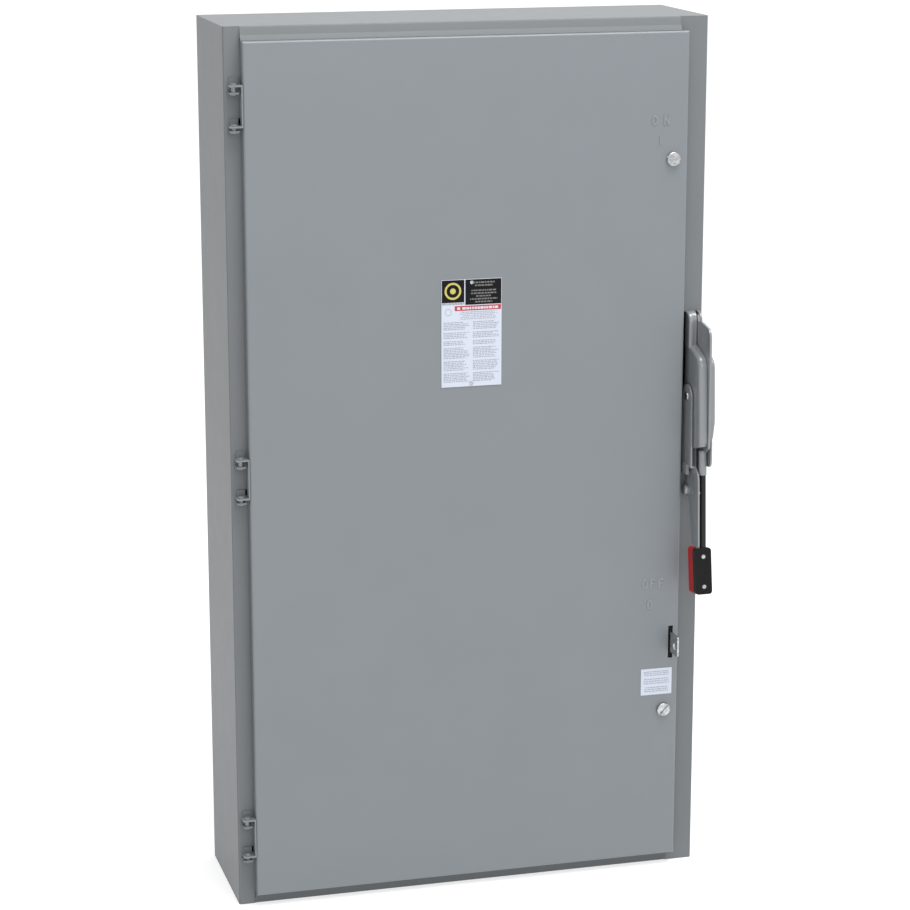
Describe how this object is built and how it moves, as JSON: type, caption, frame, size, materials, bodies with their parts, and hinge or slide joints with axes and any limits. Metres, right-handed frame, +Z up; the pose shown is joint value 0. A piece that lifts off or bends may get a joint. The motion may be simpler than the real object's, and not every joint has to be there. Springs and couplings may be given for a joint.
{
  "type": "ac disconnect box",
  "caption": "Tall wall-mounted fusible safety switch: grey sheet steel box, hinged pan door, side lever handle with a black and red grip, padlock hasp.",
  "frame": {"origin": "centre of the back face, which lies against the wall", "axes": "+X to the right seen from the front, +Z up along the height, the door faces -Y and the wall is at +Y"},
  "size_m": [0.703, 0.2748, 1.278],
  "materials": {
    "grey_enamel": "satin blue-grey baked enamel on sheet steel",
    "grey_cast": "the same grey enamel on castings and plate, a little glossier",
    "zinc": "bright zinc-plated steel",
    "black_steel": "black oxide steel rod",
    "black_grip": "black moulded plastic",
    "red_grip": "red moulded plastic",
    "plate_print": "printed plastic foil",
    "copper": null,
    "moulding": "dark red glass polyester moulding",
    "aluminium_lug": "tin-plated aluminium",
    "fibre": "grey fibre sheet",
    "fuse_body": "tan fibre-glass tube",
    "clear_shield": "clear polycarbonate",
    "galvanised": "galvanised sheet steel"
  },
  "bodies": {
    "enclosure": {"enclosure_wrapper": "grey_enamel", "end_wall_top": "grey_enamel", "end_wall_bottom": "grey_enamel", "hinge_leaf_box": "grey_enamel", "hinge_rivet": "grey_enamel", "padlock_hasp": "zinc", "handle_housing": "grey_cast", "lever_pivot_pin": "zinc", "lock_plate": "grey_cast", "lock_plate_rivet": "zinc", "lock_plate_screw": "zinc", "lock_plate_block": "grey_cast", "lock_plate_peg": "zinc", "mounting_pan": "galvanised", "pan_standoff": "zinc", "pan_nut": "zinc", "line_base": "moulding", "hinge_base": "moulding", "load_base": "moulding", "line_jaw": "copper", "blade_hinge_clip": "copper", "fuse_clip": "copper", "blade_hinge_bolt": "zinc", "line_lug": "aluminium_lug", "line_lug_screw": "zinc", "load_lug": "aluminium_lug", "load_lug_screw": "zinc", "arc_chute": "fibre", "fuse_tube": "fuse_body", "fuse_cap": "copper", "phase_barrier": "fibre", "line_shield": "clear_shield", "mechanism_cover": "galvanised", "ground_bar": "aluminium_lug", "ground_screw": "zinc"},
    "door": {"door_panel": "grey_enamel", "door_stiffener": "grey_enamel", "hinge_leaf_door": "grey_enamel", "rating_plate": "plate_print", "label_rivet": "zinc", "notice_plate": "plate_print"},
    "upper_fastener": {"door_fastener_upper": "zinc", "fastener_cam_upper": "zinc"},
    "lower_fastener": {"door_fastener_lower": "zinc", "fastener_cam_lower": "zinc"},
    "lever": {"lever_arm": "grey_cast", "lever_rod": "black_steel", "grip_front": "black_grip", "grip_back": "red_grip", "grip_rivet": "zinc"},
    "blade_rotor": {"knife_blade": "copper", "crossbar": "moulding", "drive_arm": "zinc"}
  },
  "joints": [
    {"name": "door_hinge", "type": "hinge", "parent": "enclosure", "child": "door", "pos_m": [-0.3395, -0.214, 0], "axis": [0, 0, -1], "range_deg": [0, 150]},
    {"name": "lever_turn", "type": "hinge", "parent": "enclosure", "child": "lever", "pos_m": [0.3402, -0.234, 0.141], "axis": [-1, 0, 0], "range_deg": [0, 172]},
    {"name": "blade_turn", "type": "hinge", "parent": "enclosure", "child": "blade_rotor", "pos_m": [0, -0.07, 0.15], "axis": [-1, 0, 0], "range_deg": [0, 55.1]},
    {"name": "upper_fastener_turn", "type": "hinge", "parent": "door", "child": "upper_fastener", "pos_m": [0.295, -0.22, 0.4385], "axis": [0, -1, 0], "range_deg": [0, 90]},
    {"name": "lower_fastener_turn", "type": "hinge", "parent": "door", "child": "lower_fastener", "pos_m": [0.295, -0.22, -0.389], "axis": [0, -1, 0], "range_deg": [0, 90]}
  ],
  "couplings": [
    {"joint": "blade_turn", "follows": "lever_turn", "ratio": 0.32}
  ]
}
